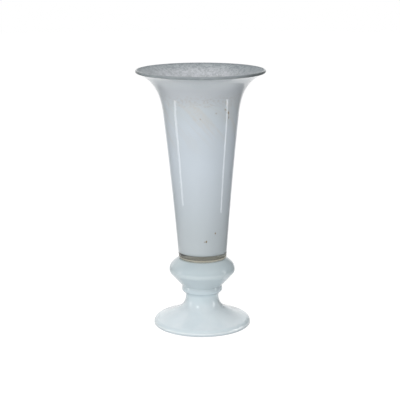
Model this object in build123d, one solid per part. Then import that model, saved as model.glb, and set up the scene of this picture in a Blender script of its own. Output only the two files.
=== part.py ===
"""A trumpet vase of cased glass, standing on a pedestal of opal glass.

Every piece is a half-section turned about +Z. The origin is the centre of the foot on the floor.
Lengths are in millimetres and angles in degrees. A half-section has the radius across and the height up.
"""
import os

from build123d import *

# Foot: a wide brim with a ground ring under it and a shallow dome hollowed out inside the ring
foot_radius = 75.6
foot_height = 24.0
foot_edge_height = 3.0
brim_inset = 5.7
brim_rise = 6.6
rest_bevel = 1.2
rest_ring_width = 8.0
hollow_depth = 10.0

# Stem: a spool that sweeps in from the foot to a waist, then out to the collar
stem_root_radius = 37.2
stem_flank_height = 20.3
stem_waist_radius = 25.6
stem_neck_height = 7.7
stem_top_radius = 29.0

# Collar: a ring with a rounded underside and a side that draws in a little towards the knop
collar_radius = 31.5
collar_height = 10.5
collar_round_height = 3.6
collar_top_inset = 0.6

# Knop: a cone below, a tight belly round the equator and a full shoulder up to a flat seat
knop_radius = 51.3
knop_lower_height = 25.0
knop_upper_height = 18.0
belly_drop = 5.4
belly_inset = 2.1
shoulder_rise = 11.1
shoulder_inset = 4.9
knop_seat_radius = 37.0

# Clear disc under the trumpet, with its lower corner rounded, on a film of cured bond
film_thickness = 0.3
disc_side_height = 0.8
disc_corner_radius = 3.4

# Trumpet: its base, the throat where the flare begins, and the outer edge of the mouth
base_radius = 37.5
wall_lean = 4.4
throat_radius = 58.3
throat_spread = 5.6
throat_rise = 25.7
mouth_radius = 97.7
mouth_height = 395.74
flare_rise = 35.19

# Glass layers of the trumpet, from the outside in, and the rounded heel inside it
casing_thickness = 2.4
casing_floor = 5.0
opal_thickness = 1.2
frit_thickness = 0.8
heel_radius = 6.0

# Levels up the vase
stem_level = foot_height
waist_level = stem_level + stem_flank_height
collar_level = waist_level + stem_neck_height
knop_level = collar_level + collar_height
equator_level = knop_level + knop_lower_height
film_level = equator_level + knop_upper_height
disc_level = film_level + film_thickness
trumpet_level = disc_level + disc_corner_radius + disc_side_height

# Depths into the trumpet's wall
opal_depth = casing_thickness
frit_depth = opal_depth + opal_thickness
wall_thickness = frit_depth + frit_thickness

UP = (0, 1)
DOWN = (0, -1)
OUT = (1, 0)


def turned(*outline):
    """Turn a closed half-section about the vase's axis."""
    return revolve(Plane.XZ * make_face(outline), Axis.Z)


def inset(line, end, depth):
    """A line's start (0) or end (1), moved square to the line towards the axis."""
    heading = line % end
    return line @ end + depth * Vector(-heading.Y, heading.X)


def pedestal_lines():
    """The stem's flank, then the foot's top and its rounded brim, in one sweep down and out."""
    waist = (stem_waist_radius, waist_level)
    root = (stem_root_radius, stem_level)
    brim = (foot_radius - brim_inset, foot_edge_height + brim_rise)
    edge = (foot_radius, foot_edge_height)
    flank = TangentArc(waist, root, tangent=DOWN)
    top = TangentArc(root, brim, tangent=flank % 1)
    rounding = TangentArc(brim, edge, tangent=top % 1)
    return flank, top, rounding


def foot():
    _, top, rounding = pedestal_lines()
    ring_outer = foot_radius - rest_bevel
    ring_inner = ring_outer - rest_ring_width
    bevel = Line((foot_radius, rest_bevel), (ring_outer, 0))
    ring = Line((ring_outer, 0), (ring_inner, 0))
    hollow = TangentArc((0, hollow_depth), (ring_inner, 0), tangent=OUT)
    axis = Line(hollow @ 0, (0, stem_level))
    seat = Line(axis @ 1, top @ 0)
    edge = Line(rounding @ 1, bevel @ 0)
    return turned(seat, top, rounding, edge, bevel, ring, hollow, axis)


def stem():
    flank, _, _ = pedestal_lines()
    neck = TangentArc(flank @ 0, (stem_top_radius, collar_level), tangent=UP)
    top = Line(neck @ 1, (0, collar_level))
    axis = Line(top @ 1, (0, stem_level))
    base = Line(axis @ 1, flank @ 1)
    return turned(flank, neck, top, axis, base)


def collar():
    widest = (collar_radius, collar_level + collar_round_height)
    rounding = TangentArc(widest, (stem_top_radius, collar_level), tangent=DOWN)
    side = TangentArc(widest, (collar_radius - collar_top_inset, knop_level), tangent=UP)
    base = Line(rounding @ 1, (0, collar_level))
    axis = Line(base @ 1, (0, knop_level))
    top = Line(axis @ 1, side @ 1)
    return turned(rounding, base, axis, top, side)


def knop():
    equator = (knop_radius, equator_level)
    cone_top = (knop_radius - belly_inset, equator_level - belly_drop)
    shoulder_point = (knop_radius - shoulder_inset, equator_level + shoulder_rise)
    belly = TangentArc(equator, cone_top, tangent=DOWN)
    cone = Line(belly @ 1, (collar_radius, knop_level))
    shoulder = TangentArc(equator, shoulder_point, tangent=UP)
    cap = TangentArc(shoulder_point, (knop_seat_radius, film_level), tangent=shoulder % 1)
    base = Line(cone @ 1, (0, knop_level))
    axis = Line(base @ 1, (0, film_level))
    seat = Line(axis @ 1, cap @ 1)
    return turned(belly, cone, base, axis, seat, shoulder, cap)


def trumpet_lines():
    """The trumpet's outer wall, throat and flare, from the heel up to the lip."""
    lean = Vector(*UP).rotate(Axis.Z, -wall_lean)
    heel_rise = casing_floor + heel_radius - (casing_thickness + heel_radius) * lean.X
    heel = Vector(base_radius, trumpet_level) + lean * (heel_rise / lean.Y)
    flare_level = mouth_height - flare_rise
    throat_knot = (throat_radius, flare_level - throat_rise)
    flare_knot = (throat_radius + throat_spread, flare_level)
    wall = TangentArc(heel, throat_knot, tangent=lean)
    throat = TangentArc(throat_knot, flare_knot, tangent=wall % 1)
    flare = TangentArc(flare_knot, (mouth_radius, mouth_height), tangent=throat % 1)
    return wall, throat, flare


def layer_lines(depth):
    """The trumpet's floor, rounded heel and wall on the face that lies this deep in its wall."""
    arcs = trumpet_lines()
    walls = [TangentArc(inset(arc, 0, depth), inset(arc, 1, depth), tangent=arc % 0) for arc in arcs]
    rounding = heel_radius + casing_thickness - depth
    centre = inset(arcs[0], 0, depth + rounding)
    floor_end = centre - Vector(0, rounding)
    floor = Line((0, floor_end.Y), floor_end)
    heel = TangentArc(floor_end, walls[0] @ 0, tangent=OUT)
    return [floor, heel, *walls]


def layer(outer_lines, inner_lines):
    """A glass layer between two faces of the trumpet's wall, open at the mouth."""
    axis = Line(inner_lines[0] @ 0, outer_lines[0] @ 0)
    mouth = Line(outer_lines[-1] @ 1, inner_lines[-1] @ 1)
    return turned(axis, *outer_lines, mouth, *inner_lines)


def clear_casing():
    wall, throat, flare = trumpet_lines()
    base = Line((0, trumpet_level), (base_radius, trumpet_level))
    side = Line(base @ 1, wall @ 0)
    return layer([base, side, wall, throat, flare], layer_lines(opal_depth))


def lip_wrap():
    _, _, flare = trumpet_lines()
    mouth = Line(inset(flare, 1, wall_thickness), flare @ 1)
    bead = TangentArc(mouth @ 1, mouth @ 0, tangent=flare % 1)
    return turned(mouth, bead)


def clear_base_disc():
    top = Line((0, trumpet_level), (base_radius, trumpet_level))
    corner_top = (base_radius, disc_level + disc_corner_radius)
    corner = TangentArc(corner_top, (base_radius - disc_corner_radius, disc_level), tangent=DOWN)
    side = Line(top @ 1, corner @ 0)
    base = Line(corner @ 1, (0, disc_level))
    axis = Line(base @ 1, top @ 0)
    return turned(top, side, corner, base, axis)


def bond_film():
    film_radius = base_radius - disc_corner_radius
    return Pos(0, 0, film_level) * extrude(Circle(film_radius), film_thickness)


def pieces():
    """Every piece of the vase under its name, from the foot up and then from the outside in."""
    return {
        "foot": foot(),
        "stem": stem(),
        "collar": collar(),
        "knop": knop(),
        "bond_film": bond_film(),
        "clear_base_disc": clear_base_disc(),
        "clear_casing": clear_casing(),
        "opal_lining": layer(layer_lines(opal_depth), layer_lines(frit_depth)),
        "frit_lining": layer(layer_lines(frit_depth), layer_lines(wall_thickness)),
        "lip_wrap": lip_wrap(),
    }


os.makedirs("parts", exist_ok=True)
for name, piece in pieces().items():
    piece.label = name
    export_step(piece, f"parts/{name}.step")
    box = piece.bounding_box()
    print(f"{name}: {piece.volume:.0f} mm3, radius {box.max.X:.2f}, {box.min.Z:.2f} to {box.max.Z:.2f}")
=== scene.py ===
"""The look of the trumpet vase: turned glass pieces, their finishes, the studio and the camera.

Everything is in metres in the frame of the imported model: the vase stands on z = 0 with its axis on z.
"""
import math
import random

import bmesh
import bpy
from mathutils import Color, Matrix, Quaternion, Vector

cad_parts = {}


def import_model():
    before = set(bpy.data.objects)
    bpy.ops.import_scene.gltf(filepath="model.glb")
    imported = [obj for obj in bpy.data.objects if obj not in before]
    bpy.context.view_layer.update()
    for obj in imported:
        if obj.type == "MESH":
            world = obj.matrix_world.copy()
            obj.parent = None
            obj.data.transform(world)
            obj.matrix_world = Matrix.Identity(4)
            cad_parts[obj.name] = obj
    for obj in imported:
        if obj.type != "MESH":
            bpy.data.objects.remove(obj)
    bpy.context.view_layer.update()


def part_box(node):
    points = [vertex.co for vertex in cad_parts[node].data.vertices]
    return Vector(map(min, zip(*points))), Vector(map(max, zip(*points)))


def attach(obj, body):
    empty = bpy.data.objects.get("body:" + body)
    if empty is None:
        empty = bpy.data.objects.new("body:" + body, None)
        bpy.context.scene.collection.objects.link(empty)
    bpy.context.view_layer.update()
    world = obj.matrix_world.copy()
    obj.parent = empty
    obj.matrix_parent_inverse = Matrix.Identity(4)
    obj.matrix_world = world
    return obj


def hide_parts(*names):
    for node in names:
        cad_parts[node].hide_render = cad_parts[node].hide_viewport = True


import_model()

scene = bpy.context.scene


def reach(node):
    """A turned node's greatest radius, and its lowest and highest level."""
    low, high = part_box(node)
    return high.x, low.z, high.z


# Sizes read from the frame
foot_radius, floor_level, foot_top = reach("foot")
stem_root_radius, _, stem_top = reach("stem")
collar_radius, _, collar_top = reach("collar")
knop_radius, _, knop_top = reach("knop")
film_radius, _, film_top = reach("bond_film")
base_radius, _, disc_top = reach("clear_base_disc")
mouth_radius, casing_foot, _ = reach("clear_casing")
_, opal_foot, _ = reach("opal_lining")
_, frit_foot, _ = reach("frit_lining")
_, lip_level, _ = reach("lip_wrap")

# Foot and stem
edge_height = 0.0030
brim_inset = 0.0057
brim_rise = 0.0066
rest_bevel = 0.0012
rest_ring_width = 0.0080
hollow_depth = 0.0100
waist_radius = 0.0256
flank_height = 0.0203
stem_top_radius = 0.0290

# Collar and knop
collar_round_height = 0.0036
collar_top_inset = 0.0006
knop_upper_height = 0.0180
belly_drop = 0.0054
belly_inset = 0.0021
shoulder_rise = 0.0111
shoulder_inset = 0.0049
knop_seat_radius = 0.0370

# Trumpet
disc_corner_radius = 0.0034
wall_lean = math.radians(4.4)
throat_radius = 0.0583
throat_spread = 0.0056
throat_rise = 0.0257
flare_rise = 0.03519
heel_radius = 0.0060
casing_thickness = 0.0024
frit_thickness = 0.0008
opal_thickness = frit_foot - opal_foot
opal_depth = casing_thickness
frit_depth = opal_depth + opal_thickness
wall_thickness = frit_depth + frit_thickness
buried = 0.0002

# Hand work: the pedestal's waver, and the trumpet's lean to the left as a share of the height over a level
waver = 0.0003
trumpet_lean = -0.0095
lean_level = 0.200
leaning = {"Lean": trumpet_lean, "Lean level": lean_level}

# Grains of the inside skin
grains_per_metre = 420.0
grain_depth = 0.0002
grain_facets = 288
grain_step = 0.0018

# Fineness of the outlines, and what counts as sharp, as one point or as no edge at all
outline_step = 0.0025
outline_turn = math.radians(4)
bead_step = 0.0004
sharp_angle = math.radians(28)
same_point = 1e-6
no_edge = 1e-7

glass_ior = 1.5

OUT = Vector((1, 0))
UP = Vector((0, 1))
DOWN = Vector((0, -1))


class Outline:
    """A half-section as (radius, height) points, drawn in straight runs and arcs that flow on smoothly."""

    def __init__(self, radius, height, step=outline_step):
        self.points = [Vector((radius, height))]
        self.heading = OUT
        self.step = step

    def line(self, radius, height):
        """A straight run to this point."""
        end = Vector((radius, height))
        self.heading = (end - self.points[-1]).normalized()
        self.points.append(end)
        return self

    def arc(self, radius, height, heading=None):
        """A round stretch to this point that leaves along the heading so far, or along the one given."""
        start = self.points[-1]
        heading = heading or self.heading
        chord = Vector((radius, height)) - start
        half_turn = math.atan2(heading.cross(chord), heading.dot(chord))
        stretch = chord.length * (half_turn / math.sin(half_turn) if half_turn else 1)
        count = max(2, math.ceil(stretch / self.step), math.ceil(abs(2 * half_turn) / outline_turn))
        for index in range(1, count + 1):
            share = index / count
            swing = half_turn * share
            length = chord.length * (math.sin(swing) / math.sin(half_turn) if half_turn else share)
            self.points.append(start + length * turned(heading, swing))
        self.heading = turned(heading, 2 * half_turn)
        return self


def turned(heading, angle):
    """A flat vector turned anticlockwise by an angle."""
    cosine, sine = math.cos(angle), math.sin(angle)
    return Vector((heading.x * cosine - heading.y * sine, heading.x * sine + heading.y * cosine))


def inward(heading):
    """Square to a heading that climbs the wall, towards the axis."""
    return Vector((-heading.y, heading.x))


# Node trees

# Where a Mix node takes its two colours and gives the blend
MIX_FIRST = 6
MIX_SECOND = 7
MIX_RESULT = 2


class Wire:
    """An output socket in a node tree. Sums and products of wires add the Math nodes they need."""

    def __init__(self, tree, socket=None):
        self.tree = tree
        self.socket = socket

    def node(self, kind, inputs=None, output=0, **settings):
        """Add a node with these settings, then these values or wires on its inputs, and give one output."""
        made = self.tree.nodes.new(kind)
        for name, value in settings.items():
            setattr(made, name, value)
        for name, value in (inputs or {}).items():
            if isinstance(value, Wire):
                self.tree.links.new(value.socket, made.inputs[name])
            else:
                made.inputs[name].default_value = value
        return Wire(self.tree, made.outputs[output] if len(made.outputs) else None)

    def beside(self, output):
        """Another output of the node that this wire comes from."""
        return Wire(self.tree, self.socket.node.outputs[output])

    def math(self, operation, *values):
        """A Math node on these values or wires."""
        return self.node("ShaderNodeMath", dict(enumerate(values)), operation=operation)

    def __add__(self, other):
        return self.math("ADD", self, other)

    def __sub__(self, other):
        return self.math("SUBTRACT", self, other)

    def __rsub__(self, other):
        return self.math("SUBTRACT", other, self)

    def __mul__(self, other):
        return self.math("MULTIPLY", self, other)

    def __truediv__(self, other):
        return self.math("DIVIDE", self, other)

    def __pow__(self, other):
        return self.math("POWER", self, other)

    __radd__ = __add__
    __rmul__ = __mul__

    def between(self, low, high):
        """0 below low, 1 above high, smooth between; low may be the greater."""
        inputs = {"Value": self, "From Min": low, "From Max": high}
        return self.node("ShaderNodeMapRange", inputs, interpolation_type="SMOOTHSTEP")

    def blend(self, first, second):
        """A colour that goes from the first to the second as this wire goes from 0 to 1."""
        inputs = {"Factor": self, MIX_FIRST: first, MIX_SECOND: second}
        return self.node("ShaderNodeMix", inputs, output=MIX_RESULT, data_type="RGBA")

    def noise(self, scale, detail=2.0):
        """Cloudy noise over this vector, from 0 to 1."""
        return self.node("ShaderNodeTexNoise", {"Vector": self, "Scale": scale, "Detail": detail})

    def axis(self, name):
        """One axis of this vector."""
        return self.node("ShaderNodeSeparateXYZ", {0: self}, output=name)

    def stretched(self, x, y, z):
        """This vector, scaled along each axis."""
        return self.node("ShaderNodeVectorMath", {0: self, 1: (x, y, z)}, operation="MULTIPLY")

    def swung(self, angle):
        """This vector, turned about the vase's axis."""
        return self.node("ShaderNodeVectorRotate", {"Vector": self, "Angle": angle}, rotation_type="Z_AXIS")


def tint(red, green, blue):
    """A colour as a screen shows it, 0 to 255, turned into light."""
    shown = Color([channel / 255 for channel in (red, green, blue)])
    return (*shown.from_srgb_to_scene_linear(), 1)


def from_axis(place):
    """The distance from the vase's axis."""
    x = place.axis("X")
    y = place.axis("Y")
    return (x * x + y * y) ** 0.5


def geometry_tree(name, inputs):
    """An empty geometry tree with named inputs, and the wire of its group input."""
    tree = bpy.data.node_groups.new(name, "GeometryNodeTree")
    for label, kind, value in inputs:
        socket = tree.interface.new_socket(label, in_out="INPUT", socket_type="NodeSocket" + kind)
        if value is not None:
            socket.default_value = value
    tree.interface.new_socket("Piece", in_out="OUTPUT", socket_type="NodeSocketGeometry")
    return Wire(tree).node("NodeGroupInput")


def close_tree(geometry, material):
    """End a geometry tree in real geometry that wears the given material."""
    real = geometry.node("GeometryNodeRealizeInstances", {0: geometry})
    painted = real.node("GeometryNodeSetMaterial", {"Geometry": real, "Material": material})
    painted.node("NodeGroupOutput", {0: painted})
    return painted.tree


def lathe():
    """A half-section spun about the axis, with a slight waver, a lean and, if asked, a grainy skin."""
    given = geometry_tree("turned_glass", (
        ("Half-section", "Geometry", None),
        ("Facets around", "Int", 192),
        ("Waver", "Float", 0.0),
        ("Waver per metre", "Float", 14.0),
        ("Grain depth", "Float", 0.0),
        ("Grains per metre", "Float", grains_per_metre),
        ("Grain middle", "Float", 0.45),
        ("Grains end at radius", "Float", 1.0),
        ("Grains fade over", "Float", 0.012),
        ("Seed", "Float", 0.0),
        ("Lean", "Float", 0.0),
        ("Lean level", "Float", 0.0),
        ("Material", "Material", None),
    ))
    half_step = 0.5
    drift_middle = 0.5
    # A grid with a row for each point of the half-section and a column for each facet
    facets = given.beside("Facets around")
    section = given.beside("Half-section")
    size = given.node("GeometryNodeAttributeDomainSize", {0: section}, output="Point Count", component="MESH")
    columns = facets + 1
    grid = given.node("GeometryNodeMeshGrid", {"Vertices X": size, "Vertices Y": columns})
    index = given.node("GeometryNodeInputIndex")
    row = index.math("FLOOR", (index + half_step) / columns)
    angle = (index - row * columns) * math.tau / facets
    place = given.node("GeometryNodeInputPosition")
    sampled = {"Geometry": section, "Value": place, "Index": row}
    point = given.node("GeometryNodeSampleIndex", sampled, data_type="FLOAT_VECTOR")
    radius = point.axis("X")
    spun = given.node("ShaderNodeCombineXYZ", {
        0: radius * angle.math("COSINE", angle), 1: radius * angle.math("SINE", angle), 2: point.axis("Z"),
    })
    surface = given.node("GeometryNodeSetPosition", {"Geometry": grid, "Position": spun})
    whole = given.node("GeometryNodeMergeByDistance", {"Geometry": surface, "Distance": same_point})
    # The waver and the grains move the surface in or out
    seed = given.beside("Seed")
    waves = {"Vector": place, "Scale": given.beside("Waver per metre"), "Detail": 1.0, "W": seed}
    drift = given.node("ShaderNodeTexNoise", waves, noise_dimensions="4D")
    grains = {"Vector": place, "Scale": given.beside("Grains per metre"), "W": seed}
    cells = given.node("ShaderNodeTexVoronoi", grains, voronoi_dimensions="4D", feature="F1")
    grain_end = given.beside("Grains end at radius")
    grainy = from_axis(place).between(grain_end, grain_end - given.beside("Grains fade over"))
    raised = (given.beside("Grain middle") - cells) * grainy * given.beside("Grain depth")
    height = (drift - drift_middle) * given.beside("Waver") + raised
    normal = given.node("GeometryNodeInputNormal")
    offset = given.node("ShaderNodeVectorMath", {0: normal, "Scale": height}, operation="SCALE")
    shaped = given.node("GeometryNodeSetPosition", {"Geometry": whole, "Offset": offset})
    # The lean moves each level sideways
    above = place.axis("Z") - given.beside("Lean level")
    sway = given.node("ShaderNodeCombineXYZ", {0: above * given.beside("Lean")})
    stood = given.node("GeometryNodeSetPosition", {"Geometry": shaped, "Offset": sway})
    smooth = given.node("GeometryNodeSetShadeSmooth", {0: stood})
    return close_tree(smooth, given.beside("Material"))


def pressing():
    """Small flat flecks pressed upright on given places round the axis, each with its own size."""
    given = geometry_tree("pressed_flecks", (
        ("Places", "Geometry", None),
        ("Length share", "Float", 1.8),
        ("Flatness", "Float", 0.3),
        ("Material", "Material", None),
    ))
    place = given.node("GeometryNodeInputPosition")
    turn = place.math("ARCTAN2", place.axis("Y"), place.axis("X"))
    outward = given.node("ShaderNodeCombineXYZ", {2: turn})
    # A ball that is one unit across
    fleck = given.node("GeometryNodeMeshIcoSphere", {"Radius": 0.5, "Subdivisions": 2})
    size = given.node("GeometryNodeInputNamedAttribute", {"Name": "size"}, data_type="FLOAT")
    scale = given.node("ShaderNodeCombineXYZ", {
        0: size * given.beside("Flatness"), 1: size, 2: size * given.beside("Length share"),
    })
    flecks = given.node("GeometryNodeInstanceOnPoints", {
        "Points": given.beside("Places"), "Instance": fleck, "Rotation": outward, "Scale": scale,
    })
    return close_tree(flecks, given.beside("Material"))


def grown(tree, source, name, values):
    """Run a geometry tree on a mesh with these input values, and keep the result as a plain mesh piece."""
    piece = bpy.data.objects.new(name, source)
    scene.collection.objects.link(piece)
    modifier = piece.modifiers.new("grown", "NODES")
    modifier.node_group = tree
    for item in tree.interface.items_tree:
        if item.name in values:
            modifier[item.identifier] = values[item.name]
    graph = bpy.context.evaluated_depsgraph_get()
    mesh = bpy.data.meshes.new_from_object(piece.evaluated_get(graph), depsgraph=graph)
    piece.modifiers.remove(modifier)
    piece.data = mesh
    return piece


def points_mesh(name, points, sizes=()):
    """Points as a bare mesh, with a size for each if given."""
    mesh = bpy.data.meshes.new(name)
    mesh.from_pydata(points, [], [])
    if sizes:
        mesh.attributes.new("size", "FLOAT", "POINT").data.foreach_set("value", sizes)
    return mesh


LATHE = lathe()
PRESSING = pressing()


def turned_piece(name, points, node, slot, material, **values):
    """A piece of turned glass that stands for a node of the frame."""
    section = points_mesh("half_section", [(point.x, 0, point.y) for point in points])
    piece = grown(LATHE, section, name, {"Material": material, **values})
    shell = bmesh.new()
    shell.from_mesh(piece.data)
    bmesh.ops.dissolve_degenerate(shell, dist=no_edge, edges=shell.edges)
    bmesh.ops.recalc_face_normals(shell, faces=shell.faces)
    shell.to_mesh(piece.data)
    shell.free()
    piece.data.set_sharp_from_angle(angle=sharp_angle)
    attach(piece, "root")
    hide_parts(node)
    return piece


# Finishes, where a pair of lengths says where a change starts and where it is full

def emptied(block):
    """The wire of Object coordinates in a material's or a world's tree, with nothing else in the tree."""
    block.use_nodes = True
    block.node_tree.nodes.clear()
    return Wire(block.node_tree).node("ShaderNodeTexCoord", output="Object")


def finish(name):
    """A new material, and the wire of its Object coordinates."""
    material = bpy.data.materials.new(name)
    return material, emptied(material)


def surfaced(material, shader, volume=None):
    """The material, with its surface and any volume joined up."""
    inputs = {"Surface": shader}
    if volume:
        inputs["Volume"] = volume
    shader.node("ShaderNodeOutputMaterial", inputs)
    return material


def upright(place):
    """A place on the trumpet, as it would be if the trumpet did not lean."""
    sway = place.node("ShaderNodeCombineXYZ", {0: (place.axis("Z") - lean_level) * -trumpet_lean})
    return place.node("ShaderNodeVectorMath", {0: place, 1: sway}, operation="ADD")


def bumped(height, strength, distance):
    """The way a surface faces, tilted as if it rose and fell with this wire."""
    return height.node("ShaderNodeBump", {"Height": height, "Strength": strength, "Distance": distance})


def shaded(wire, first, *changes):
    """A colour that changes along a wire: each change gives where it starts and ends, and its colour."""
    colour = first
    for stretch, shade in changes:
        colour = wire.between(*stretch).blend(colour, shade)
    return colour


def clear_glass(name, cast, density, clearness=1.0):
    """Clear glass that darkens with depth and lets the lamps through to what it covers."""
    ringed_flare = (0.365, 0.385)
    wave_share = 0.1
    material, place = finish(name)
    rings = place.stretched(0.04, 0.04, 1).noise(scale=260.0, detail=1.0)
    rings = rings * place.axis("Z").between(*ringed_flare)
    waves = place.stretched(1, 1, 0.25).noise(scale=45.0, detail=1.0)
    glass = place.node("ShaderNodeBsdfPrincipled", {
        "Base Color": (1, 1, 1, 1), "Roughness": 0.0, "IOR": glass_ior, "Transmission Weight": clearness,
        "Normal": bumped(waves * wave_share + rings, strength=0.2, distance=0.001),
    })
    open_way = place.node("ShaderNodeBsdfTransparent")
    shadow = place.node("ShaderNodeLightPath", output="Is Shadow Ray")
    lighting = shadow.math("MAXIMUM", shadow, shadow.beside("Is Diffuse Ray"))
    shader = place.node("ShaderNodeMixShader", {0: lighting, 1: glass, 2: open_way})
    depth = place.node("ShaderNodeVolumeAbsorption", {"Color": cast, "Density": density})
    return surfaced(material, shader, depth)


def trumpet_opal():
    """Cloudy grey-blue opal with faint slanting streaks of warmer glass high on the wall; its tone by level
    is partly painted shade, and a painted shade darkens its heel.
    """
    lower_wall = (0.110, 0.270)
    upper_wall = (0.310, 0.345)
    throat = (0.345, 0.372)
    flare = (0.374, 0.386)
    streaks_begin = (0.270, 0.320)
    streaks_end = (0.366, 0.350)
    mottle_begins = (0.345, 0.355)
    mottle_ends = (0.374, 0.362)
    heel_shade = (0.1165, 0.1155)
    streak_twist = 16.0
    cloud_turn = 0.35
    cloud_share = 0.3
    mottle_share = 0.5
    streak_share = 0.45
    heel_share = 0.95
    material, place = finish("trumpet_opal")
    level = place.axis("Z")
    clouds = place.swung(cloud_turn).noise(scale=16.0, detail=4.0)
    specks = place.noise(scale=320.0)
    slanting = place.swung(level * streak_twist + cloud_turn).stretched(1, 1, 0.06)
    streaks = slanting.noise(scale=110.0, detail=3.0).between(0.42, 0.72) * specks.between(0.2, 0.6)
    high = level.between(*streaks_begin) * level.between(*streaks_end) * clouds.between(0.38, 0.55)
    mottle = specks.between(0.45, 0.7) * level.between(*mottle_begins) * level.between(*mottle_ends)
    # The tone by level is partly the opal's own tone and partly painted shade: darker low on the wall, at the
    # throat and on the flare.
    tone = shaded(
        level, tint(187, 195, 199), (lower_wall, tint(204, 213, 222)), (upper_wall, tint(198, 206, 212)),
        (throat, tint(185, 190, 196)), (flare, tint(193, 199, 204)),
    )
    cloudy = (clouds.between(0.35, 0.7) * cloud_share).blend(tone, tint(197, 204, 211))
    mottled = (mottle * mottle_share).blend(cloudy, tint(178, 174, 172))
    warmed = (streaks * high * streak_share).blend(mottled, tint(201, 196, 188))
    # Painted shade, near black, on the opal's heel for the dark seen under its edge through the clear base.
    painted_heel_shade = (level.between(*heel_shade) * heel_share).blend(warmed, tint(44, 46, 43))
    shader = place.node("ShaderNodeBsdfPrincipled", {
        "Base Color": painted_heel_shade, "Roughness": 0.45, "Specular IOR Level": 0.2,
    })
    return surfaced(material, shader)


def frit_skin():
    """Fused crushed glass: mottled grey grains, smoother by the lip, with painted shade that darkens them by
    the lip and to the right.
    """
    outer_shade_band = (0.074, 0.090)
    smooth_and_shaded_lip = (0.088, mouth_radius)
    right_shade_side = (0.020, 0.085)
    right_shade_share = 0.6
    grain_share = 0.6
    mottle_share = 0.7
    least_dull = 0.4
    dull_spread = 0.3
    material, place = finish("frit_skin")
    place = upright(place)
    cells = place.node("ShaderNodeTexVoronoi", {"Vector": place, "Scale": grains_per_metre}, output="Color")
    grain = cells.axis("X")
    mottle = place.noise(scale=160.0, detail=3.0)
    tone = (grain * grain_share + mottle * mottle_share).between(0.25, 1.0)
    inner = tone.blend(tint(166, 170, 174), tint(194, 197, 201))
    # The outer and rim colours are the grains in painted shade, used towards the lip; the grains also smooth
    # out there.
    outer = tone.blend(tint(134, 141, 145), tint(172, 177, 180))
    rim = tone.blend(tint(112, 120, 124), tint(136, 143, 147))
    away = from_axis(place)
    skin = shaded(away, inner, (outer_shade_band, outer), (smooth_and_shaded_lip, rim))
    # Painted shade darkens the right side of the inside.
    skin = (place.axis("X").between(*right_shade_side) * right_shade_share).blend(skin, rim)
    rough = mottle * (1 - away.between(*smooth_and_shaded_lip))
    shader = place.node("ShaderNodeBsdfPrincipled", {
        "Base Color": skin, "Roughness": grain * dull_spread + least_dull, "Specular IOR Level": 0.12,
        "Normal": bumped(rough, strength=0.3, distance=0.0005),
    })
    return surfaced(material, shader)


def lip_glass():
    """Grey-green glass of the lip, its dark colour partly its own and partly painted shade, and darkest at
    its left and right ends, which is painted shade.
    """
    left_shade_end = (-0.080, -0.096)
    right_shade_begins = (0.050, 0.080)
    right_shade_stops = (0.099, 0.092)
    material, place = finish("lip_glass")
    place = upright(place)
    drift = place.noise(scale=60.0).between(0.3, 0.7)
    colour = drift.blend(tint(137, 144, 147), tint(148, 154, 157))
    x = place.axis("X")
    # Painted shade at the lip's left and right ends.
    ends = x.between(*left_shade_end) + x.between(*right_shade_begins) * x.between(*right_shade_stops)
    shader = place.node("ShaderNodeBsdfPrincipled", {
        "Base Color": ends.blend(colour, tint(108, 114, 116)), "Roughness": 0.12, "Specular IOR Level": 0.06,
    })
    return surfaced(material, shader)


def pedestal_opal():
    """Milky glass with a breath of aqua, fire-polished, with faint clouds in its depth; painted shade darkens
    the stem, collar, knop, brim and lower edge, and painted light brightens the belly and a line round the
    brim.
    """
    flank = (0.032, 0.044)
    neck = (0.046, stem_top)
    collar_side = (stem_top + 0.004, collar_top)
    belly = (0.079, 0.084)
    shoulder = (0.087, 0.091)
    brim_shade_out = (0.0695, 0.0735)
    brim_shade_down = (0.012, 0.008)
    highlight_line_begins = (0.0030, 0.0038)
    highlight_line_ends = (0.0056, 0.0046)
    under_edge_shade = (0.0030, 0.0016)
    brim_shade_share = 0.8
    highlight_line_share = 0.7
    under_edge_shade_share = 0.8
    material, place = finish("pedestal_opal")
    level = place.axis("Z")
    clouds = place.noise(scale=30.0, detail=3.0).between(0.3, 0.7)
    # thin is the foot's plain colour; the darker stem, collar and knop colours below are painted shade, and
    # the belly's lighter colour is painted light.
    thin = clouds.blend(tint(220, 231, 236), tint(227, 236, 240))
    knop_painted_shade = clouds.blend(tint(190, 203, 208), tint(196, 208, 212))
    milk_painted_shade_and_light = shaded(
        level, thin, (flank, tint(212, 225, 230)), (neck, tint(203, 216, 222)),
        (collar_side, tint(197, 209, 214)), (belly, tint(204, 216, 220)), (shoulder, knop_painted_shade),
    )
    # Painted shade on the brim, a painted highlight line round the rim above the edge, and painted shade on
    # the edge below it.
    brim = from_axis(place).between(*brim_shade_out) * level.between(*brim_shade_down)
    line = level.between(*highlight_line_begins) * level.between(*highlight_line_ends)
    brim_painted_shade = (brim * brim_shade_share).blend(milk_painted_shade_and_light, tint(212, 224, 229))
    painted_highlight_line = (line * highlight_line_share).blend(brim_painted_shade, tint(236, 243, 245))
    painted_edge_shade = (level.between(*under_edge_shade) * under_edge_shade_share).blend(painted_highlight_line, tint(190, 200, 206))
    shader = place.node("ShaderNodeBsdfPrincipled", {
        "Base Color": painted_edge_shade, "Roughness": 0.04, "IOR": glass_ior,
        "Normal": bumped(place.noise(scale=70.0, detail=1.0), strength=0.08, distance=0.001),
    })
    return surfaced(material, shader)


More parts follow.
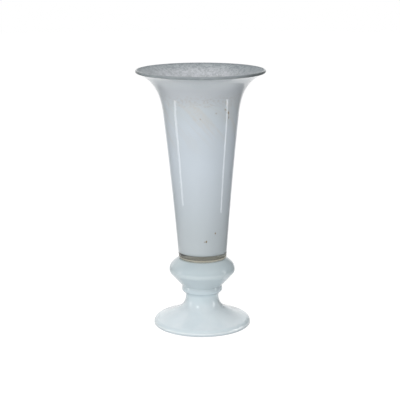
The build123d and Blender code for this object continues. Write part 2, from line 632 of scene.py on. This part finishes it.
def cured_bond():
    """A cream film that glows with painted light, as if lit through the clear base, up to a little inside its
    edge.
    """
    painted_glow_reach = (0.034, 0.028)
    no_glow = (0, 0, 0, 1)
    material, place = finish("cured_bond")
    film = place.noise(scale=200.0).blend(tint(218, 215, 198), tint(238, 235, 220))
    shader = place.node("ShaderNodeBsdfPrincipled", {
        # The emission is painted light: the film glows though it is no lamp.
        "Base Color": film, "Roughness": 0.2, "Emission Strength": 0.29,
        "Emission Color": from_axis(place).between(*painted_glow_reach).blend(no_glow, film),
    })
    return surfaced(material, shader)


def bronze():
    """Dull metal of the flecks."""
    material, place = finish("bronze")
    shade = place.noise(scale=900.0, detail=1.0).blend(tint(112, 94, 60), tint(156, 134, 96))
    shader = place.node("ShaderNodeBsdfPrincipled", {"Base Color": shade, "Roughness": 0.4, "Metallic": 0.3})
    return surfaced(material, shader)


# Half-sections

def pedestal_outlines():
    """The half-sections of the foot and of the stem, which share one sweep from waist to brim."""
    waist_level = foot_top + flank_height
    flank = Outline(waist_radius, waist_level).arc(stem_root_radius, foot_top, DOWN)
    ring_outer = foot_radius - rest_bevel
    ring_inner = ring_outer - rest_ring_width
    foot = Outline(0, foot_top).line(stem_root_radius, foot_top)
    foot.arc(foot_radius - brim_inset, edge_height + brim_rise, flank.heading)
    foot.arc(foot_radius, edge_height)
    foot.line(foot_radius, rest_bevel).line(ring_outer, 0).line(ring_inner, 0)
    hollow = Outline(0, hollow_depth).arc(ring_inner, 0, OUT)
    foot.points += hollow.points[-2::-1]
    neck = Outline(waist_radius, waist_level).arc(stem_top_radius, stem_top, UP)
    stem = [Vector((0, foot_top)), *flank.points[::-1], *neck.points[1:], Vector((0, stem_top))]
    return foot.points, stem


def collar_outline():
    """A rounded underside, and a side that draws in a little towards the knop."""
    widest = stem_top + collar_round_height
    side = Outline(collar_radius, widest).arc(collar_radius - collar_top_inset, collar_top, UP)
    underside = Outline(collar_radius, widest).arc(stem_top_radius, stem_top, DOWN).line(0, stem_top)
    return [Vector((0, collar_top)), *side.points[::-1], *underside.points[1:]]


def knop_outline():
    """A cone and a tight belly below the equator, and a full shoulder above it."""
    equator = knop_top - knop_upper_height
    lower = Outline(knop_radius, equator).arc(knop_radius - belly_inset, equator - belly_drop, DOWN)
    lower.line(collar_radius, collar_top).line(0, collar_top)
    upper = Outline(knop_radius, equator).arc(knop_radius - shoulder_inset, equator + shoulder_rise, UP)
    upper.arc(knop_seat_radius, knop_top).line(0, knop_top)
    return lower.points[::-1] + upper.points[1:]


def disc_outline():
    """A disc with a rounded lower corner, whose top is buried in the casing's floor."""
    disc = Outline(0, disc_top + buried).line(base_radius - buried, disc_top + buried)
    disc.line(base_radius, disc_top).line(base_radius, film_top + disc_corner_radius)
    return disc.arc(base_radius - disc_corner_radius, film_top, DOWN).line(0, film_top).points


def film_outline():
    """A thin disc, whose top is buried in the clear disc."""
    top = film_top + buried
    return Outline(0, top).line(film_radius, top).line(film_radius, knop_top).line(0, knop_top).points


def trumpet_knots():
    """The knots of the trumpet's outer wall, with the heading that its wall sets out on."""
    lean = Vector((math.sin(wall_lean), math.cos(wall_lean)))
    heel_rise = opal_foot - casing_foot + heel_radius - (casing_thickness + heel_radius) * lean.x
    heel = Vector((base_radius, casing_foot)) + lean * (heel_rise / lean.y)
    flare_level = lip_level - flare_rise
    throat = Vector((throat_radius, flare_level - throat_rise))
    flare = Vector((throat_radius + throat_spread, flare_level))
    lip = Vector((mouth_radius, lip_level))
    return lean, (heel, throat, flare, lip)


def wall_outline(depth, step=outline_step):
    """The trumpet's floor, heel and wall, from the axis to the lip, this deep in its wall; 0 is outside."""
    heading, knots = trumpet_knots()
    headings = [heading]
    for start, end in zip(knots, knots[1:]):
        headings.append(Outline(*start).arc(*end, headings[-1]).heading)
    places = [knot + depth * inward(way) for knot, way in zip(knots, headings)]
    if depth:
        rounding = heel_radius + casing_thickness - depth
        centre = places[0] + rounding * inward(heading)
        wall = Outline(0, centre.y - rounding, step).line(centre.x, centre.y - rounding)
        wall.arc(*places[0], OUT)
    else:
        wall = Outline(0, casing_foot, step).line(base_radius, casing_foot).line(*places[0])
    for place, way in zip(places[1:], headings):
        wall.arc(*place, way)
    return wall


def layer_outline(outer_depth, inner_depth, inner_step=outline_step):
    """A layer of the trumpet between two depths in its wall."""
    outer = wall_outline(outer_depth)
    inner = wall_outline(inner_depth, inner_step)
    return outer.points + inner.points[::-1]


def lip_outline():
    """The bead round the mouth, closed on the line where the layers end."""
    outer = wall_outline(0)
    inner = wall_outline(wall_thickness)
    bead = Outline(*outer.points[-1], bead_step).arc(*inner.points[-1], outer.heading)
    back = outer.heading * buried
    return [bead.points[0] - back, *bead.points, bead.points[-1] - back, bead.points[0] - back]


# Flecks on the front as degrees round to the right, level and size, and bands of more flecks at the back
front_flecks = [
    (-1, 0.3325, 0.0011), (23, 0.3408, 0.0013), (38, 0.3456, 0.0018), (45, 0.3403, 0.0028),
    (46, 0.3326, 0.0020), (30, 0.1529, 0.0019), (9, 0.1406, 0.0021), (5, 0.1399, 0.0012),
]
back_bands = [(0.318, 0.348, 14), (0.136, 0.160, 7)]
back_degrees = (75, 285)
back_sizes = (0.0009, 0.0018)
fleck_seed = 5


def opal_radius(wall, level):
    """The radius of the opal's outer face at a level."""
    low, high = next((low, high) for low, high in zip(wall, wall[1:]) if high.y > level)
    return low.lerp(high, (level - low.y) / (high.y - low.y)).x


def bronze_flecks():
    """Bronze flecks between the clear glass and the opal, in a band by the throat and one low on the wall."""
    chance = random.Random(fleck_seed)
    flecks = list(front_flecks)
    for low, high, count in back_bands:
        for _ in range(count):
            degrees = chance.uniform(*back_degrees)
            level = chance.uniform(low, high)
            flecks.append((degrees, level, chance.uniform(*back_sizes)))
    wall = wall_outline(opal_depth).points
    places = []
    for degrees, level, _ in flecks:
        radius = opal_radius(wall, level)
        angle = math.radians(degrees)
        sway = trumpet_lean * (level - lean_level)
        places.append((radius * math.sin(angle) + sway, -radius * math.cos(angle), level))
    source = points_mesh("fleck_places", places, [size for _, _, size in flecks])
    piece = grown(PRESSING, source, "bronze_flecks", {"Material": bronze()})
    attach(piece, "root")


# Pieces

opal_white = pedestal_opal()
foot_section, stem_section = pedestal_outlines()
foot = turned_piece("foot_dome", foot_section, "foot", "pedestal_opal", opal_white, Waver=waver)
stem = turned_piece("stem_spool", stem_section, "stem", "pedestal_opal", opal_white, Waver=waver)
collar = turned_piece("collar_ring", collar_outline(), "collar", "pedestal_opal", opal_white, Waver=waver)
turned_piece("knop_bulb", knop_outline(), "knop", "pedestal_opal", opal_white, Waver=waver)
turned_piece("bond_line", film_outline(), "bond_film", "cured_bond", cured_bond())

base_glass = clear_glass("clear_base_glass", cast=(0.60, 0.56, 0.44, 1), density=14.0, clearness=0.95)
wall_glass = clear_glass("clear_wall_glass", cast=(0.56, 0.65, 0.53, 1), density=8.0)
casing_section = layer_outline(0, opal_depth + buried)
opal_section = layer_outline(opal_depth, frit_depth + buried)
frit_section = layer_outline(frit_depth, wall_thickness, grain_step)
grainy = {"Facets around": grain_facets, "Grain depth": grain_depth, "Grains end at radius": mouth_radius}
turned_piece("base_disc", disc_outline(), "clear_base_disc", "clear_glass", base_glass, **leaning)
turned_piece("trumpet_casing", casing_section, "clear_casing", "clear_glass", wall_glass, **leaning)
turned_piece("opal_layer", opal_section, "opal_lining", "trumpet_opal", trumpet_opal(), **leaning)
turned_piece("frit_layer", frit_section, "frit_lining", "frit_skin", frit_skin(), **grainy, **leaning)
turned_piece("lip_bead", lip_outline(), "lip_wrap", "lip_glass", lip_glass(), **leaning)
bronze_flecks()


# Studio

# Brightness, where 1 is white
sky_light = 0.30
under_light = 0.70
sky_lift = 0.20
dim_left = 0.28
dim_right = 0.05
dim_above = 0.30
near_floor = 0.90
bright_floor = 1.10
floor_glow = 1.14
glow_share = 0.85
paper = 0.90

# Camera, with the photo's pixels as its measure
photo_width = 400
focal_pixels = 1198.7
right_pixels = -2.05
up_pixels = -1.56
film_width = 36.0
eye = (0, -1.812, 0.605)
vase_middle = (0, 0, 0.2)
camera_roll = math.radians(-0.10)

# Lamps
strip_level = 0.175
strip_aim = (0, 0, strip_level)
strip_length = 0.34
soft_side = 1.2


def camera():
    """The photo's view: a long lens, a little above the mouth, tipped by a tenth of a degree."""
    data = bpy.data.cameras.new("view")
    data.sensor_width = film_width
    data.lens = film_width * focal_pixels / photo_width
    data.shift_x = right_pixels / photo_width
    data.shift_y = up_pixels / photo_width
    data.dof.use_dof = False
    lens = bpy.data.objects.new("view", data)
    lens.location = eye
    aim = Vector(vase_middle) - lens.location
    lens.rotation_mode = "QUATERNION"
    roll = Quaternion((0, 0, 1), camera_roll)
    lens.rotation_quaternion = aim.to_track_quat("-Z", "Y") @ roll
    scene.collection.objects.link(lens)
    scene.camera = lens


def lamp(name, place, aim, width, height, power, mirrored=False, only=()):
    """A soft lamp. Only a mirrored one shows in the glass, and one with pieces named lights only those."""
    data = bpy.data.lights.new(name, "AREA")
    data.shape = "RECTANGLE"
    data.size = width
    data.size_y = height
    data.energy = power
    soft = bpy.data.objects.new(name, data)
    soft.location = place
    soft.rotation_mode = "QUATERNION"
    soft.rotation_quaternion = (Vector(aim) - Vector(place)).to_track_quat("-Z", "Y")
    soft.visible_camera = False
    soft.visible_diffuse = not mirrored
    soft.visible_glossy = mirrored
    soft.visible_transmission = mirrored
    scene.collection.objects.link(soft)
    if only:
        soft.light_linking.receiver_collection = bpy.data.collections.new(name)
        for piece in only:
            soft.light_linking.receiver_collection.objects.link(piece)


def rays(place):
    """Whether a ray comes from the camera, whether it went through glass, and whether it met glass at all."""
    seen = place.node("ShaderNodeLightPath", output="Is Camera Ray")
    through = seen.beside("Is Transmission Ray")
    return seen, through, seen.math("MAXIMUM", seen.beside("Is Glossy Ray"), through)


def surroundings(place, slant=0.0):
    """What the glass mirrors of the studio: white behind, dim to the left and in front, dark to the right."""
    left_to_right = (-0.2, 0.6)
    front_to_back = (0.74, 0.94)
    x = place.axis("X")
    across = from_axis(place)
    dim = dim_left + (dim_right - dim_left) * (x / across).between(*left_to_right)
    return dim + (1 - dim) * ((place.axis("Y") - slant * x) / across).between(*front_to_back)


def floor_paper():
    """White to the eye with a soft shadow, with a bright patch behind in the glass, and clear from below."""
    near_centre = (-0.08, 0.04, 0)
    near_edge = (0.50, 0.24)
    patch_start = (0.12, 0.24)
    patch_right_slope = 0.47
    patch_right = 0.09
    patch_right_edge = (-0.02, 0.03)
    patch_left_slope = 0.30
    patch_left_edge = (-0.05, 0.05)
    material, place = finish("pale_floor")
    seen, _, in_glass = rays(place)
    x = place.axis("X")
    y = place.axis("Y")
    inside_right = (y * patch_right_slope + patch_right - x).between(*patch_right_edge)
    inside_left = (y * patch_left_slope + x).between(*patch_left_edge)
    patch = inside_right * inside_left * y.between(*patch_start)
    around = surroundings(place)
    around = around + (bright_floor - around) * patch
    inputs = {0: place, 1: near_centre}
    distance = place.node("ShaderNodeVectorMath", inputs, output="Value", operation="DISTANCE")
    mirrored = around + (near_floor - around) * distance.between(*near_edge)
    shadowed = place.node("ShaderNodeBsdfDiffuse", {"Color": (paper, paper, paper, 1)})
    glow = place.node("ShaderNodeEmission", {"Color": floor_glow - in_glass * (floor_glow - mirrored)})
    share = seen * glow_share + in_glass * (1 - seen)
    lit = place.node("ShaderNodeMixShader", {0: share, 1: shadowed, 2: glow})
    clear = place.node("ShaderNodeBsdfTransparent")
    under = place.node("ShaderNodeNewGeometry", output="Backfacing")
    return surfaced(material, place.node("ShaderNodeMixShader", {0: under, 1: lit, 2: clear}))


def floor():
    """A wide round floor, open under the foot so that light reaches the hollow."""
    opening = foot_radius - rest_bevel
    spread = 5.6
    count = 96
    turns = [math.tau * index / count for index in range(count)]
    points = [(r * math.cos(turn), r * math.sin(turn), 0) for r in (opening, spread) for turn in turns]
    sides = [(index, (index + 1) % count) for index in range(count)]
    faces = [(start, start + count, end + count, end) for start, end in sides]
    mesh = bpy.data.meshes.new("floor")
    mesh.from_pydata(points, [], faces)
    mesh.materials.append(floor_paper())
    ground = bpy.data.objects.new("floor", mesh)
    ground.location.z = floor_level
    scene.collection.objects.link(ground)


def world():
    """A studio that is white to the eye and behind the vase, and dim in reflections from the other sides."""
    # Parts of a ray's direction where a change starts and where it is full
    below = (-0.1, -0.3)
    over = (0.04, 0.16)
    far_right = (0.45, 0.70)
    sky_slant = 0.3
    studio = bpy.data.worlds.new("studio")
    place = emptied(studio)
    seen, through, in_glass = rays(place)
    level = place.axis("Z")
    light = sky_light + level.between(*below) * (under_light - sky_light)
    light = light + seen * (1 - light)
    light = light + in_glass * (surroundings(place, sky_slant) + sky_lift - light)
    right = (place.axis("X") / from_axis(place)).between(*far_right)
    light = light - through * level.between(*over) * (light - dim_above * (1 - right))
    sky = place.node("ShaderNodeBackground", {"Color": light})
    sky.node("ShaderNodeOutputWorld", {"Surface": sky})
    scene.world = studio


camera()
floor()
world()
lamp("left_strip", place=(-0.528, -0.084, strip_level), aim=strip_aim, width=0.075, height=strip_length,
     power=0.24, mirrored=True)
lamp("right_strip", place=(0.519, -0.077, strip_level), aim=strip_aim, width=0.055, height=strip_length,
     power=0.26, mirrored=True)
for side, power in ((-1, 0.22), (1, 0.36)):
    lamp("stem_glint", place=(side * 0.525, -0.081, strip_level), aim=strip_aim, width=0.065,
         height=strip_length, power=power, mirrored=True, only=(stem,))
    lamp("collar_glint", place=(side * 0.33, -0.06, 0.025), aim=(0, 0, 0.05), width=0.05, height=0.05,
         power=0.035, mirrored=True, only=(collar,))
lamp("spark", place=(-0.87, -1.39, 1.30), aim=(0, 0, 0.03), width=0.38, height=0.50, power=4.2, mirrored=True,
     only=(stem,))
lamp("rim_glint", place=(0.60, -0.05, 0.12), aim=(0, 0, 0), width=0.50, height=0.20, power=1.2, mirrored=True,
     only=(foot,))
lamp("soft_key", place=(-1.2, -1.6, 1.4), aim=vase_middle, width=soft_side, height=soft_side, power=14.2)
lamp("front", place=(0, -2.2, 0.9), aim=vase_middle, width=soft_side, height=soft_side, power=15.9)
lamp("top", place=(0, 0, 2.0), aim=vase_middle, width=1.6, height=1.6, power=15.8)
lamp("back_fill", place=(-0.4, 2.1, 0.8), aim=vase_middle, width=soft_side, height=soft_side, power=6.0)
scene.view_settings.view_transform = "Standard"
